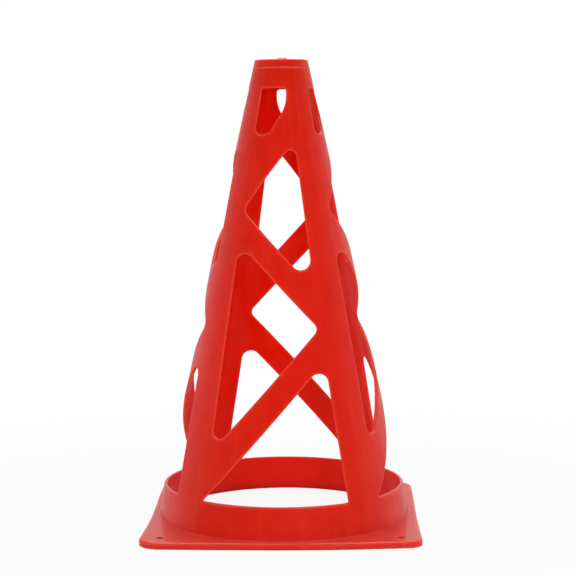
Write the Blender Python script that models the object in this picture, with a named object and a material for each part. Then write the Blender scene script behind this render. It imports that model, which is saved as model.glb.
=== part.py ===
"""Training cone: one thin moulding whose wall is a zigzag lattice, on a square flange.

The wall is a hollow frustum, open at the bottom and closed by a flat disc at the top.
Each of its four sides has the same four windows, cut straight through along that
side's own normal. What is left between them is a collar, a crown, four slanting posts
and three braces in each bay. The moulding is kept as those members, with a hairline
seam wherever two of them meet.

Metres, +Z up. The origin is on the ground, on the cone's axis. The front is -Y.
"""

import math

import bmesh
import bpy
from mathutils import Matrix, Vector

# Overall sizes
BODY_HEIGHT = 0.3043  # ground to the top disc
FOOT_RADIUS = 0.0853  # outside of the wall, carried down to the ground
TOP_RADIUS = 0.0173  # outside of the wall at the top disc
WALL = 0.002  # measured square to the wall
SEAM = 0.0003  # clear width between two members

# Flange
FLANGE_MARGIN = 0.0036  # from the wall's foot out to the nearest point of each side
FLANGE_THICKNESS = 0.0043
FLANGE_CORNER = 0.011  # plan radius of the four corners
FLANGE_TOP_ROUND = 0.0012
FLANGE_BOTTOM_ROUND = 0.0005
PEG_HOLE_RADIUS = 0.0026
PEG_HOLE_INSET = 0.0134  # from each side to the hole's centre
FOOT_FILLET = 0.0018  # concave, where the wall rises from the flange

# Collar
COLLAR_TOP = 0.0248

# Crown
CROWN_DEPTH = 0.0187  # from the disc down to the highest windows
DISC_THICKNESS = 0.002
RIM_ROUND = 0.0008
BEAD_DROP = 0.0055  # from the disc down to the parting bead
BEAD_HEIGHT = 0.0012
BEAD_PROUD = 0.0003
NUB_RADIUS = 0.0045
NUB_HEIGHT = 0.0014

# Worked out from the sizes above
SLOPE = (FOOT_RADIUS - TOP_RADIUS) / BODY_HEIGHT  # how far the wall leans in, for each metre up
FLANGE_REACH = FOOT_RADIUS + FLANGE_MARGIN  # from the axis to each side
FOOT_TOP = FLANGE_THICKNESS + FOOT_FILLET
CROWN_BOTTOM = BODY_HEIGHT - CROWN_DEPTH

# How finely round forms are cut into flats
ROUND_STEPS = 96
ARC_STEPS = 5
CORNER_STEPS = 8
HOLE_STEPS = 24

# Any cutter that has to pass through a face runs past it by this much
OVERRUN = 0.002

# Each window's corners, read from outside, clockwise from the top: the distance from
# the middle of the bay as a share of the cone's radius at that height, and the height
# as a share of the lattice, from 0 at the collar to 1 at the crown.
WINDOW_CORNER_SHARES = {
    "top": ((-0.541, 1.0), (0.172, 1.0), (0.155, 0.9500), (-0.279, 0.8861), (-0.590, 0.8861)),
    "upper": ((0.309, 0.8705), (0.434, 0.5096), (-0.609, 0.7005)),
    "middle": ((-0.610, 0.6238), (0.443, 0.4145), (-0.610, 0.1169)),
    "lower": ((0.471, 0.3371), (0.538, 0.0), (-0.620, 0.0)),
}
# How much each of those corners is rounded; 0 is a sharp corner on the collar
WINDOW_CORNER_RADII = {
    "top": (0.0012, 0.0022, 0.0220, 0.0062, 0.0036),
    "upper": (0.0040, 0.0060, 0.0062),
    "middle": (0.0062, 0.0046, 0.0041),
    "lower": (0.0061, 0.0, 0.0),
}

# Where the members of one bay meet: each seam runs from one window's corner to the
# corner of another.
SEAM_LINES = (
    (("top", 3), ("upper", 0)),
    (("top", 4), ("upper", 2)),
    (("upper", 2), ("middle", 0)),
    (("upper", 1), ("middle", 1)),
    (("middle", 1), ("lower", 0)),
    (("middle", 2), ("lower", 2)),
)

BAYS = ("front", "right", "back", "left")
POSTS = ("front_right", "back_right", "back_left", "front_left")
BRACES = ("lower", "middle", "upper")  # from the ground up
QUARTER_TURN = math.pi / 2
POST_SHARE = 0.25  # a member whose middle is further than this from a bay's middle is a post
SHARP_ANGLE = math.radians(30)

RED = (0.66, 0.028, 0.012, 1.0)
ROUGHNESS = 0.42


def clear_scene():
    for item in list(bpy.data.objects):
        bpy.data.objects.remove(item, do_unlink=True)


def outer_radius(height):
    return FOOT_RADIUS - SLOPE * height


def inner_radius(height):
    return outer_radius(height) - WALL * math.hypot(1, SLOPE)


def plastic(name):
    """The moulding's red, with each member's material kept apart."""
    material = bpy.data.materials.new(name + "_red")
    material.use_nodes = True
    shader = material.node_tree.nodes["Principled BSDF"]
    shader.inputs["Base Color"].default_value = RED
    shader.inputs["Roughness"].default_value = ROUGHNESS
    shader.inputs["Metallic"].default_value = 0.0
    material.diffuse_color = RED
    return material


def add_object(name, mesh):
    item = bpy.data.objects.new(name, mesh)
    bpy.context.scene.collection.objects.link(item)
    return item


def mesh_from(name, form):
    """Turns a bmesh into a mesh, with its faces pointing out."""
    bmesh.ops.recalc_face_normals(form, faces=form.faces)
    mesh = bpy.data.meshes.new(name)
    form.to_mesh(mesh)
    form.free()
    return mesh


def finish(item, name):
    """Names a member, gives it its plastic, and shades it smooth but for real edges."""
    item.name = name
    mesh = item.data
    mesh.name = name
    mesh.materials.clear()
    mesh.materials.append(plastic(name))
    mesh.shade_smooth()
    mesh.set_sharp_from_angle(angle=SHARP_ANGLE)


def arc(centre, radius, start, end, steps):
    """Points (across, up) of a round, its angles in degrees."""
    points = []
    for step in range(steps + 1):
        angle = math.radians(start + (end - start) * step / steps)
        points.append((centre[0] + radius * math.cos(angle), centre[1] + radius * math.sin(angle)))
    return points


def revolve(profile, steps):
    """Turns a closed profile of (radius, height) points about Z. A point at radius zero is a pole."""
    form = bmesh.new()
    rings = []
    for radius, height in profile:
        if radius == 0:
            rings.append([form.verts.new((0, 0, height))] * steps)
            continue
        ring = []
        for step in range(steps):
            angle = math.tau * step / steps
            ring.append(form.verts.new((radius * math.cos(angle), radius * math.sin(angle), height)))
        rings.append(ring)
    for here, there in zip(rings, rings[1:] + rings[:1]):
        for step in range(steps):
            after = (step + 1) % steps
            corners = [here[step], here[after], there[after], there[step]]
            corners = list(dict.fromkeys(corners))
            if len(corners) > 2:
                form.faces.new(corners)
    return form


def loft(rings):
    """Skins a stack of outlines that all have the same number of points, and caps both ends."""
    form = bmesh.new()
    levels = [[form.verts.new(point) for point in ring] for ring in rings]
    count = len(levels[0])
    for below, above in zip(levels, levels[1:]):
        for index in range(count):
            after = (index + 1) % count
            form.faces.new((below[index], below[after], above[after], above[index]))
    form.faces.new(levels[0])
    form.faces.new(levels[-1])
    return form


def combined(mesh, others, operation):
    """Joins other meshes to a mesh, or takes them away from it, and returns the result."""
    body = add_object("combined", mesh)
    helpers = []
    for other in others:
        helper = add_object("helper", other)
        helper.hide_render = True
        helper.display_type = "WIRE"
        helpers.append(helper)
        boolean = body.modifiers.new("combine", "BOOLEAN")
        boolean.operation = operation
        boolean.solver = "EXACT"
        boolean.object = helper
    bpy.context.view_layer.update()
    graph = bpy.context.evaluated_depsgraph_get()
    result = bpy.data.meshes.new_from_object(body.evaluated_get(graph))
    for item in helpers + [body]:
        bpy.data.objects.remove(item, do_unlink=True)
    return result


def rounded_square(inset, height):
    """The flange's outline, drawn in by an inset, at a height."""
    corner = FLANGE_CORNER - inset
    reach = FLANGE_REACH - FLANGE_CORNER
    points = []
    for quarter, (across, along) in enumerate(((1, 1), (-1, 1), (-1, -1), (1, -1))):
        start = 90 * quarter
        for x, y in arc((across * reach, along * reach), corner, start, start + 90, CORNER_STEPS):
            points.append((x, y, height))
    return points


def peg_hole(x, y):
    outline = arc((x, y), PEG_HOLE_RADIUS, 0, 360, HOLE_STEPS)[:-1]
    heights = (-OVERRUN, FLANGE_THICKNESS + OVERRUN)
    return loft([[(across, along, height) for across, along in outline] for height in heights])


def bottom_opening():
    """The inside of the cone, carried on through the flange."""
    low, high = -OVERRUN, FOOT_TOP + OVERRUN
    return revolve([(0, low), (inner_radius(low), low), (inner_radius(high), high), (0, high)], ROUND_STEPS)


def foot_plug():
    """The start of the wall, spread by the fillet onto the flange, before the opening is cut through it."""
    sunk = FLANGE_THICKNESS / 2
    centre = (outer_radius(FOOT_TOP) + FOOT_FILLET * math.hypot(1, SLOPE), FOOT_TOP)
    lean = math.degrees(math.atan(SLOPE))
    profile = [(0, sunk), (centre[0], sunk)]
    profile += arc(centre, FOOT_FILLET, 270, 180 + lean, ARC_STEPS)
    profile += [(outer_radius(FOOT_TOP), FOOT_TOP), (0, FOOT_TOP)]
    return revolve(profile, ROUND_STEPS)


def build_flange():
    """A square plate with softened edges, the wall's foot, the opening and a peg hole at each corner."""
    shoulder = FLANGE_THICKNESS - FLANGE_TOP_ROUND
    edge = arc((FLANGE_BOTTOM_ROUND, FLANGE_BOTTOM_ROUND), FLANGE_BOTTOM_ROUND, 270, 180, ARC_STEPS)
    edge += arc((FLANGE_TOP_ROUND, shoulder), FLANGE_TOP_ROUND, 180, 90, ARC_STEPS)
    plate = mesh_from("flange_plate", loft([rounded_square(inset, height) for inset, height in edge]))
    solid = combined(plate, [mesh_from("foot_plug", foot_plug())], "UNION")
    cutters = [mesh_from("opening", bottom_opening())]
    reach = FLANGE_REACH - PEG_HOLE_INSET
    for across, along in ((1, 1), (-1, 1), (-1, -1), (1, -1)):
        cutters.append(mesh_from("peg_hole", peg_hole(across * reach, along * reach)))
    finish(add_object("flange", combined(solid, cutters, "DIFFERENCE")), "base_flange")


def band(bottom, top):
    """The wall between two heights, as a plain ring."""
    profile = [(inner_radius(bottom), bottom), (outer_radius(bottom), bottom)]
    profile += [(outer_radius(top), top), (inner_radius(top), top)]
    return revolve(profile, ROUND_STEPS)


def build_collar():
    """The lowest band of the cone, which has no windows."""
    finish(add_object("collar", mesh_from("collar", band(FOOT_TOP + SEAM, COLLAR_TOP))), "collar")


def nub_profile():
    """A low dome, from its edge up to the axis: part of a sphere through the nub's rim."""
    sphere = (NUB_RADIUS**2 + NUB_HEIGHT**2) / (2 * NUB_HEIGHT)
    centre = BODY_HEIGHT + NUB_HEIGHT - sphere
    start = math.degrees(math.atan2(BODY_HEIGHT - centre, NUB_RADIUS))
    return arc((0, centre), sphere, start, 90, ARC_STEPS)[:-1] + [(0, BODY_HEIGHT + NUB_HEIGHT)]


def build_crown():
    """The top band and its disc, with the parting bead round it and the gate nub on it."""
    ceiling = BODY_HEIGHT - DISC_THICKNESS
    bead_middle = BODY_HEIGHT - BEAD_DROP
    bead_low = bead_middle - BEAD_HEIGHT / 2
    bead_high = bead_middle + BEAD_HEIGHT / 2
    rim = (outer_radius(BODY_HEIGHT) - RIM_ROUND, BODY_HEIGHT - RIM_ROUND)
    profile = [
        (0, ceiling),
        (inner_radius(ceiling), ceiling),
        (inner_radius(CROWN_BOTTOM), CROWN_BOTTOM),
        (outer_radius(CROWN_BOTTOM), CROWN_BOTTOM),
        (outer_radius(bead_low), bead_low),
        (outer_radius(bead_middle) + BEAD_PROUD, bead_middle),
        (outer_radius(bead_high), bead_high),
    ]
    profile += arc(rim, RIM_ROUND, 0, 90, ARC_STEPS)
    profile += nub_profile()
    finish(add_object("crown", mesh_from("crown", revolve(profile, ROUND_STEPS))), "crown")


def window_corners(window):
    """The window's corners as (across, up) in metres, before they are rounded."""
    corners = []
    for across_share, up_share in WINDOW_CORNER_SHARES[window]:
        height = COLLAR_TOP + (CROWN_BOTTOM - COLLAR_TOP) * up_share
        corners.append(Vector((across_share * outer_radius(height), height)))
    return corners


def corner_centre(window, index):
    """Centre of the round at one corner. At a sharp corner it is the corner itself."""
    corners = window_corners(window)
    corner = corners[index]
    before = (corners[index - 1] - corner).normalized()
    after = (corners[(index + 1) % len(corners)] - corner).normalized()
    half_angle = before.angle(after) / 2
    radius = WINDOW_CORNER_RADII[window][index]
    return corner + (before + after).normalized() * radius / math.sin(half_angle)


def window_outline(window):
    """The window's outline with its corners rounded."""
    corners = window_corners(window)
    outline = []
    for index, corner in enumerate(corners):
        radius = WINDOW_CORNER_RADII[window][index]
        if radius == 0:
            outline.append(corner)
            continue
        centre = corner_centre(window, index)
        before = (corners[index - 1] - corner).normalized()
        after = (corners[(index + 1) % len(corners)] - corner).normalized()
        first = before * (centre - corner).dot(before) + corner - centre
        last = after * (centre - corner).dot(after) + corner - centre
        turn = first.angle_signed(last)
        for step in range(ARC_STEPS + 1):
            outline.append(centre + Matrix.Rotation(-turn * step / ARC_STEPS, 2) @ first)
    return outline


def bay_prism(outline, bay):
    """Carries an outline of (across, up) points out from the axis through one side's wall."""
    turn = Matrix.Rotation(QUARTER_TURN * bay, 3, "Z")
    depths = (0.0, -FOOT_RADIUS - OVERRUN)
    rings = [[turn @ Vector((across, depth, up)) for across, up in outline] for depth in depths]
    return mesh_from("bay_cutter", loft(rings))


def seam_outline(first, last):
    """A hairline slot between the rounds of two window corners."""
    start = corner_centre(*first)
    end = corner_centre(*last)
    along = (end - start).normalized()
    aside = Vector((-along.y, along.x)) * SEAM / 2
    return [start + aside, end + aside, end - aside, start - aside]


def lattice_shell():
    """The wall between the collar and the crown, before it is pierced."""
    return mesh_from("lattice_shell", band(COLLAR_TOP + SEAM, CROWN_BOTTOM - SEAM))


def loose_parts(mesh):
    """Each connected piece of a mesh, as an object of its own."""
    whole = add_object("lattice", mesh)
    bpy.context.view_layer.objects.active = whole
    whole.select_set(True)
    bpy.ops.mesh.separate(type="LOOSE")
    return list(bpy.context.selected_objects)


def middle_of(item):
    """Centre of an object's box as (quarter turns round from the front, height)."""
    corners = [Vector(corner) for corner in item.bound_box]
    centre = sum(corners, Vector()) / len(corners)
    turn = math.atan2(centre.y, centre.x) + QUARTER_TURN
    return (turn / QUARTER_TURN) % len(BAYS), centre.z


def build_lattice():
    """Pierces the shell, slits it at the seams, and names the members that are left."""
    cutters = []
    for bay in range(len(BAYS)):
        for window in WINDOW_CORNER_SHARES:
            cutters.append(bay_prism(window_outline(window), bay))
        for first, last in SEAM_LINES:
            cutters.append(bay_prism(seam_outline(first, last), bay))
    braces = {bay: [] for bay in BAYS}
    for item in loose_parts(combined(lattice_shell(), cutters, "DIFFERENCE")):
        turns, height = middle_of(item)
        if abs(turns - round(turns)) > POST_SHARE:
            finish(item, "post_" + POSTS[int(turns)])
        else:
            braces[BAYS[round(turns) % len(BAYS)]].append((height, item))
    for bay, found in braces.items():
        for level, (_, item) in zip(BRACES, sorted(found, key=lambda pair: pair[0])):
            finish(item, f"brace_{level}_{bay}")


clear_scene()
build_flange()
build_collar()
build_lattice()
build_crown()
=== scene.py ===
# %% [markdown]
# # A training cone, moulded in one shot
# The real cone is a single thin shell of soft red plastic: a square flange, a low
# collar, a lattice wall of four equal sides, and a closed crown. It has no screws,
# joints or loose pieces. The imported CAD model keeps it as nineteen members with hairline
# gaps between them, so here all of them are stood for by one seamless, closed mesh.
# Everything is in metres, +Z is up, the origin is on the ground on the cone's axis, and
# the front side faces -Y.

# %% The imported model
import math

import bmesh
import bpy
import numpy as np
from mathutils import Matrix, Vector
from mathutils.geometry import delaunay_2d_cdt
from mathutils.kdtree import KDTree


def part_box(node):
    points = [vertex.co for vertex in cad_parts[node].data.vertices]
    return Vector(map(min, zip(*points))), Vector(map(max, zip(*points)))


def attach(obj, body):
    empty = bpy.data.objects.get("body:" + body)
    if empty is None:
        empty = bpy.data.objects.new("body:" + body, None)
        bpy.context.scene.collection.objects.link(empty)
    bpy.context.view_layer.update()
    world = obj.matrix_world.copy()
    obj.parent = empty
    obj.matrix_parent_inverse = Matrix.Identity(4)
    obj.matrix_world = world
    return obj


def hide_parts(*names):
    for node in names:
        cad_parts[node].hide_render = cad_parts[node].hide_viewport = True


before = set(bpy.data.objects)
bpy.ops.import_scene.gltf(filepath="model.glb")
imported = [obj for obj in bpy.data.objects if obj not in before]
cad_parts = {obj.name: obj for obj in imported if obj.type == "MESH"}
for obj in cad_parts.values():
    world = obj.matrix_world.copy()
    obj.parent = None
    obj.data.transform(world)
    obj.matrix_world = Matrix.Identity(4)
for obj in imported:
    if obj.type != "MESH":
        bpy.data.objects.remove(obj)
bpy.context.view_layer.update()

# %% [markdown]
# ## Sizes
# A moulding is ruled by a few sizes: how wide the wall starts, how fast it leans in,
# where the windows begin and end. They could be typed in again, but then the mesh and
# the CAD could drift apart. They are read off the boxes of the CAD members instead:
# the collar gives the wall's radius near the ground, the crown gives it near the top,
# and the lean is the difference over the height between them.

# %% The cone's main sizes
flange_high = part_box("base_flange")[1]
collar_low, collar_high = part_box("collar")
crown_low, crown_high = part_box("crown")

LEAN = (collar_high.x - crown_high.x) / (crown_low.z - collar_low.z)
FOOT_RADIUS = collar_high.x + LEAN * collar_low.z
STRETCH = math.hypot(1, LEAN)  # a depth square to the wall, measured level, grows by this
COLLAR_TOP = collar_high.z
CROWN_BOTTOM = crown_low.z
FLANGE_REACH = flange_high.x
FOOT_TOP = flange_high.z


def mm(length):
    return f"{length * 1000:.2f} mm"


print(f"foot radius {mm(FOOT_RADIUS)}, leaning in {LEAN:.4f} for each metre up")
print(f"windows from {mm(COLLAR_TOP)} to {mm(CROWN_BOTTOM)}, flange {mm(2 * FLANGE_REACH)} square")

# %% Sizes that a box can't give
WALL = 0.002
FLANGE_THICKNESS = 0.0043
NUB_HEIGHT = 0.0014
BODY_HEIGHT = crown_high.z - NUB_HEIGHT
FOOT_FILLET = (FOOT_TOP - FLANGE_THICKNESS) / 2


def wall_radius(height, depth=0.0):
    """Distance of the wall from the axis, at a height and a depth into the plastic."""
    return FOOT_RADIUS - LEAN * height - depth * STRETCH


print(f"top disc {mm(2 * wall_radius(BODY_HEIGHT))} across, {mm(BODY_HEIGHT)} up")

# %% [markdown]
# ## Camera
# The photograph was taken with a long lens from a little over a metre away, at nearly
# the height of the crown, looking slightly down. Moving an object that a model is built
# around is asking for trouble, so the cone stays square to its axes and the camera
# takes the turn: it stands a couple of degrees round to the right, and its own yaw,
# pitch and roll come from lining up the outlines.

# %% Place the camera
CAMERA_DISTANCE = 1.073535
CAMERA_HEIGHT = 0.2611005
CAMERA_TURN = math.radians(1.938)
CAMERA_YAW = math.radians(-1.744)
CAMERA_PITCH = math.radians(5.677)
CAMERA_ROLL = math.radians(-0.325)
FOCAL_PIXELS = 1626.449
PICTURE_PIXELS = 576

scene = bpy.context.scene
level_right = Vector((math.cos(CAMERA_YAW), -math.sin(CAMERA_YAW), 0))
level_ahead = Vector((math.sin(CAMERA_YAW), math.cos(CAMERA_YAW), 0))
ahead = level_ahead * math.cos(CAMERA_PITCH) - Vector((0, 0, math.sin(CAMERA_PITCH)))
above = level_right.cross(ahead)
right = level_right * math.cos(CAMERA_ROLL) + above * math.sin(CAMERA_ROLL)
upright = above * math.cos(CAMERA_ROLL) - level_right * math.sin(CAMERA_ROLL)

lens = bpy.data.cameras.new("camera")
lens.sensor_width = 36
lens.lens = FOCAL_PIXELS / PICTURE_PIXELS * lens.sensor_width
camera = bpy.data.objects.new("camera", lens)
camera.matrix_world = Matrix((right, upright, -ahead)).transposed().to_4x4()
camera.matrix_world.translation = (
    CAMERA_DISTANCE * math.sin(CAMERA_TURN),
    -CAMERA_DISTANCE * math.cos(CAMERA_TURN),
    CAMERA_HEIGHT,
)
scene.collection.objects.link(camera)
scene.camera = camera
print(f"lens {lens.lens:.1f} mm, {CAMERA_DISTANCE:.3f} m away")

# %% [markdown]
# ## The four windows of a bay
# Each side of the cone is a bay with the same four windows, and what is left between
# them reads as three zigzag braces between two posts. The windows are flat polygons
# with rounded corners, seen square on. Their corners are kept as shares of the wall's
# radius and of the lattice's height, so that they stay in proportion if the cone grows.
# Every window turns only outward, so its outline is a set of arcs joined by straights,
# and growing it by some amount only means growing every arc about the same centre.
# That one fact makes the rounded edges easy later on.

# %% Window corners and how much each is rounded
WINDOW_CORNERS = {
    "top": ((-0.541, 1.0), (0.172, 1.0), (0.157, 0.9560), (-0.279, 0.8868), (-0.590, 0.8861)),
    "upper": ((0.309, 0.8690), (0.434, 0.5096), (-0.609, 0.7005), (-0.233, 0.7872)),
    "middle": ((-0.610, 0.6238), (0.443, 0.4145), (-0.610, 0.1169)),
    "lower": ((0.471, 0.3371), (0.538, 0.0), (-0.620, 0.0)),
}
CORNER_ROUNDS = {
    "top": (0.0012, 0.0022, 0.0220, 0.0062, 0.0036),
    "upper": (0.0040, 0.0060, 0.0062, 0.2500),
    "middle": (0.0062, 0.0046, 0.0041),
    "lower": (0.0061, 0.0008, 0.0006),
}


def window_corner(across_share, up_share):
    height = COLLAR_TOP + (CROWN_BOTTOM - COLLAR_TOP) * up_share
    return Vector((across_share * wall_radius(height), height))


# %% A window's outline, grown by any amount
OUTLINE_STEP = 0.00125
ARC_STEP = math.radians(9)
LEAST_ARC_STEPS = 3


def window_outline(name, grow):
    """Points (across, up) round a window, clockwise, all moved out from it by grow."""
    corners = [window_corner(*shares) for shares in WINDOW_CORNERS[name]]
    count = len(corners)
    ways = [(corners[(i + 1) % count] - corners[i]).normalized() for i in range(count)]
    outward = [Vector((-way.y, way.x)) for way in ways]
    arcs = []
    for i, (corner, rounding) in enumerate(zip(corners, CORNER_ROUNDS[name])):
        before, after = outward[i - 1], outward[i]
        centre = corner - (before + after) * rounding / (1 + before.dot(after))
        start = math.atan2(before.y, before.x)
        turn = (start - math.atan2(after.y, after.x)) % math.tau
        arcs.append((centre, rounding, start, turn))
    points = []
    for i, (centre, rounding, start, turn) in enumerate(arcs):
        steps = max(LEAST_ARC_STEPS, math.ceil(turn / ARC_STEP))
        for step in range(steps + 1):
            angle = start - turn * step / steps
            points.append(centre + Vector((math.cos(angle), math.sin(angle))) * (rounding + grow))
        next_centre, next_rounding = arcs[(i + 1) % count][:2]
        here = points[-1]
        there = next_centre + outward[i] * (next_rounding + grow)
        pieces = max(1, math.ceil((there - here).length / OUTLINE_STEP))
        points += [here.lerp(there, piece / pieces) for piece in range(1, pieces)]
    return points


for name in WINDOW_CORNERS:
    print(f"{name} window: {len(window_outline(name, 0.0))} points")

# %% [markdown]
# ## One bay, drawn flat
# A wall this open could be cut by booleans from a solid of revolution, but every window
# edge would then need a bevel across hundreds of small curved faces, which rarely comes
# out clean. So the bay is drawn as a flat fretwork panel first: x is across, z is up
# and y is the depth into the plastic. Its outer and inner faces are flat sheets full of
# small triangles, and each window is lined by a band that rolls over from one sheet to
# the other. Real window edges are slightly rounded where the mould's slides meet the
# outside, and nearly sharp on the inside, so the band starts with a larger round than
# it ends with.

# %% Rows and columns of the flat panel
BAYS = 4
BAY_COLUMNS = 48
PLAIN_BELOW = 0.0022
PLAIN_ABOVE = 0.0026
PANEL_LOW = COLLAR_TOP - PLAIN_BELOW
PANEL_HIGH = CROWN_BOTTOM + PLAIN_ABOVE
PANEL_ROWS = 120
HALF_BAY = math.pi / BAYS

column_angles = [HALF_BAY * (2 * k / BAY_COLUMNS - 1) for k in range(BAY_COLUMNS + 1)]
row_heights = [PANEL_LOW + (PANEL_HIGH - PANEL_LOW) * i / PANEL_ROWS for i in range(PANEL_ROWS + 1)]
print(f"grid of {PANEL_ROWS} x {BAY_COLUMNS}, rows {mm(row_heights[1] - row_heights[0])} apart")

# %% The band that lines a window
EDGE_ROUND_OUTSIDE = 0.0007
EDGE_ROUND_INSIDE = 0.0003
EDGE_STEPS = 5


def rolled_edge(radius, angle):
    """(growth, depth) on an edge's round, from the sheet at 0 to the cut at a right angle."""
    return radius * (1 - math.sin(angle)), radius * (1 - math.cos(angle))


def edge_band():
    """(growth, depth) of each ring of the band, from the outer sheet to the inner one."""
    rings = []
    for step in range(EDGE_STEPS + 1):
        rings.append(rolled_edge(EDGE_ROUND_OUTSIDE, math.pi / 2 * step / EDGE_STEPS))
    for step in range(EDGE_STEPS + 1):
        growth, depth = rolled_edge(EDGE_ROUND_INSIDE, math.pi / 2 * (1 - step / EDGE_STEPS))
        rings.append((growth, WALL - depth))
    return rings


print(f"{len(edge_band())} rings from outside to inside")

# %% A sheet of triangles with holes in it
HAIR = 1e-6  # a length so small that it counts as nothing
SHEET_TOLERANCE = 1e-7
INSIDE_RIM = 1  # asks for the triangles inside the rim only


def closed(loop, offset=0):
    return [(offset + i, offset + (i + 1) % len(loop)) for i in range(len(loop))]


def distance_to(loop, points):
    """How far each point is from a closed outline, and whether it is inside."""
    a = np.array(loop)
    b = np.roll(a, -1, axis=0)
    p = np.array(points)[:, None, :]
    along = np.clip(((p - a) * (b - a)).sum(-1) / ((b - a) ** 2).sum(-1), 0, 1)
    near = np.linalg.norm(a + along[..., None] * (b - a) - p, axis=-1).min(1)
    crosses = (a[:, 1] > p[..., 1]) != (b[:, 1] > p[..., 1])
    rise = np.where(b[:, 1] == a[:, 1], 1, b[:, 1] - a[:, 1])
    to_the_right = p[..., 0] < a[:, 0] + (p[..., 1] - a[:, 1]) / rise * (b[:, 0] - a[:, 0])
    return near, (crosses & to_the_right).sum(1) % 2 == 1


def holed_sheet(rim, holes, fill, clearance):
    """Triangles between a rim and the holes in it, with fill points wherever they fit."""
    keep = np.ones(len(fill), bool)
    for loop in holes:
        near, inside = distance_to(loop, fill)
        keep &= (near > clearance) & ~inside
    points = list(rim)
    edges = closed(rim)
    for loop in holes:
        edges += closed(loop, len(points))
        points += list(loop)
    points += [point for point, kept in zip(fill, keep) if kept]
    corners = [Vector(point) for point in points]
    triangles, sources = delaunay_2d_cdt(corners, edges, [], INSIDE_RIM, SHEET_TOLERANCE)[2:4]
    triangles = [[sources[corner][0] for corner in triangle] for triangle in triangles]
    middles = np.array([np.mean([points[corner] for corner in triangle], axis=0) for triangle in triangles])
    solid = np.ones(len(triangles), bool)
    for loop in holes:
        solid &= ~distance_to(loop, middles)[1]
    return points, [triangle for triangle, kept in zip(triangles, solid) if kept]


# %% Draw the flat panel
PANEL_CLEARANCE = 0.0009


def panel_sheet(depth, growth):
    """One face of the bay, with its windows grown by growth."""
    def place(height, angle):
        return Vector((wall_radius(height, depth) * math.sin(angle), height))
    first, last = column_angles[0], column_angles[-1]
    rim = [place(PANEL_LOW, angle) for angle in column_angles]
    rim += [place(height, last) for height in row_heights[1:]]
    rim += [place(PANEL_HIGH, angle) for angle in reversed(column_angles[:-1])]
    rim += [place(height, first) for height in reversed(row_heights[1:-1])]
    fill = [place(height, angle) for height in row_heights[1:-1] for angle in column_angles[1:-1]]
    holes = [window_outline(name, growth) for name in WINDOW_CORNERS]
    return holed_sheet(rim, holes, fill, PANEL_CLEARANCE)


def add_faces(form, points, faces):
    corners = [form.verts.new(point) for point in points]
    for face in faces:
        form.faces.new([corners[i] for i in face])


def add_band(form, rings):
    """Joins closed rings of points, one after the other, with quads."""
    count = len(rings[0])
    points = [point for ring in rings for point in ring]
    faces = []
    for level in range(len(rings) - 1):
        for i in range(count):
            after = (i + 1) % count
            below = level * count
            faces.append((below + i, below + after, below + count + after, below + count + i))
    add_faces(form, points, faces)


panel = bmesh.new()
for depth, growth in ((0.0, EDGE_ROUND_OUTSIDE), (WALL, EDGE_ROUND_INSIDE)):
    points, triangles = panel_sheet(depth, growth)
    add_faces(panel, [(across, depth, up) for across, up in points], triangles)
for name in WINDOW_CORNERS:
    rings = [[(p.x, depth, p.y) for p in window_outline(name, growth)] for growth, depth in edge_band()]
    add_band(panel, rings)
bmesh.ops.remove_doubles(panel, verts=panel.verts, dist=HAIR)
panel_mesh = bpy.data.meshes.new("flat_bay")
panel.to_mesh(panel_mesh)
panel.free()
lattice = bpy.data.objects.new("lattice", panel_mesh)
scene.collection.objects.link(lattice)
print(f"flat bay: {len(panel_mesh.vertices)} points, {len(panel_mesh.polygons)} faces")

# %% [markdown]
# ## Bending the bay round the cone and repeating it
# The real lattice follows a rule: every point of the flat panel keeps its place across
# and its height, and only moves back until it lies on the cone, because the mould's
# slides open each side straight outward. The same side is then used four times. That
# is work for Geometry Nodes: one formula for the bend, one instance for each bay, and
# inputs with names, so a taller cone or a six-sided one is a change of a number.
# A second rule is in the tree too. The thin braces shrink more than the posts as they
# cool, so a third of the way up, the middle of each side is drawn in by a little over a
# millimetre, and the real cone is a little less round there than a turned shape.

# %% Helpers for building node trees
def feed(tree, node, inputs):
    """Links each input that is given as a socket, and sets one given as a plain value."""
    for key, value in inputs.items():
        if isinstance(value, bpy.types.NodeSocket):
            tree.links.new(value, node.inputs[key])
        else:
            node.inputs[key].default_value = value


def step_in(tree, kind, inputs=None, **settings):
    """Adds a node with its settings and its inputs."""
    made = tree.nodes.new(kind)
    for name, value in settings.items():
        setattr(made, name, value)
    feed(tree, made, inputs or {})
    return made


def maths(tree, operation, *values):
    return step_in(tree, "ShaderNodeMath", dict(enumerate(values)), operation=operation).outputs[0]


def axes_of(tree, vector):
    return step_in(tree, "ShaderNodeSeparateXYZ", {0: vector}).outputs


def vector_of(tree, **axes):
    return step_in(tree, "ShaderNodeCombineXYZ", axes).outputs[0]


def swell(tree, distance, narrowness):
    """1 where the distance is 0, falling softly to 0."""
    fallen = maths(tree, "MULTIPLY_ADD", maths(tree, "MULTIPLY", distance, distance), -narrowness, 1.0)
    return maths(tree, "POWER", maths(tree, "MAXIMUM", fallen, 0.0), 2.0)


def end_group(tree, results):
    """Gives a node group its results."""
    step_in(tree, "NodeGroupOutput", results)
    print(f"{tree.name}: {len(tree.nodes)} nodes")


# %% The tree that bends and repeats
bend = bpy.data.node_groups.new("bend_and_repeat_bays", "GeometryNodeTree")
for socket_name, kind in (
    ("Flat Bay", "Geometry"),
    ("Foot Radius", "Float"),
    ("Lean", "Float"),
    ("Bays", "Int"),
    ("Draw", "Float"),
    ("Draw Height", "Float"),
    ("Draw Reach", "Float"),
    ("Plastic", "Material"),
):
    bend.interface.new_socket(socket_name, in_out="INPUT", socket_type="NodeSocket" + kind)
bend.interface.new_socket("Lattice", in_out="OUTPUT", socket_type="NodeSocketGeometry")

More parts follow.
